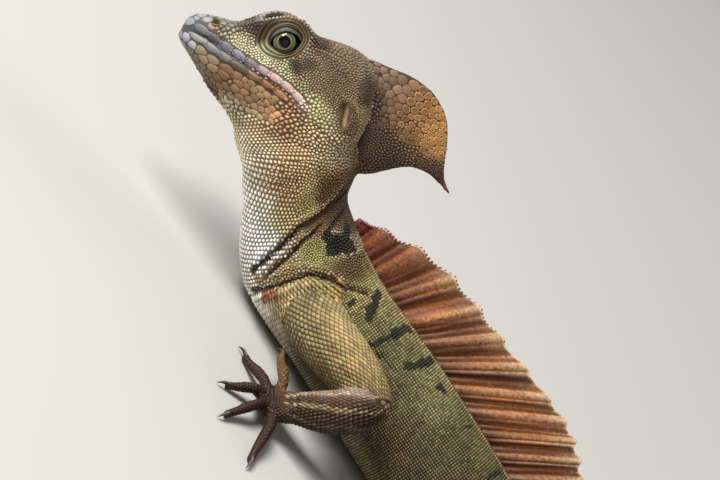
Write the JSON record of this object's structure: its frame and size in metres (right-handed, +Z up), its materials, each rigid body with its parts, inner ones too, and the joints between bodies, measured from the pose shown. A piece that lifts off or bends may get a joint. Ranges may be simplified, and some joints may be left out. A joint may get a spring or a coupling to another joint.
{
  "type": "common basilisk lizard",
  "caption": "Still life-size crested lizard lying with raised neck and turned head: rounded head crest, rayed back sail, crested tail, clawed feet.",
  "frame": {"origin": "on the floor under the middle of the whole animal's bounding box", "axes": "+Z up from the floor; the snout points to -X and the tail to +X; the animal's left side faces -Y"},
  "size_m": [0.6644, 0.1972, 0.0705],
  "materials": {
    "head_skin": "dry scales with a faint sheen",
    "crest_skin": "dry scales with a faint sheen",
    "body_skin": "fine dry scales",
    "arm_skin": "keeled dry scales",
    "limb_skin": "keeled dry scales",
    "digit_skin": "dry scales, glossier claws",
    "tail_skin": "keeled dry scales",
    "sail_skin": "thin pleated skin on rays",
    "eye": "wet gloss"
  },
  "bodies": {
    "root": {"head": "head_skin", "head_crest": "crest_skin", "eye_left": "eye", "eye_right": "eye", "neck": "body_skin", "torso": "body_skin", "hips": "body_skin", "dorsal_sail": "sail_skin", "tail_1": "tail_skin", "tail_2": "tail_skin", "tail_3": "tail_skin", "tail_4": "tail_skin", "tail_tip": "tail_skin", "tail_crest": "sail_skin", "left_upper_arm": "arm_skin", "left_forearm": "limb_skin", "left_hand": "digit_skin", "right_upper_arm": "arm_skin", "right_forearm": "limb_skin", "right_hand": "digit_skin", "left_thigh": "limb_skin", "left_shin": "limb_skin", "left_foot": "digit_skin", "right_thigh": "limb_skin", "right_shin": "limb_skin", "right_foot": "digit_skin"}
  },
  "joints": []
}
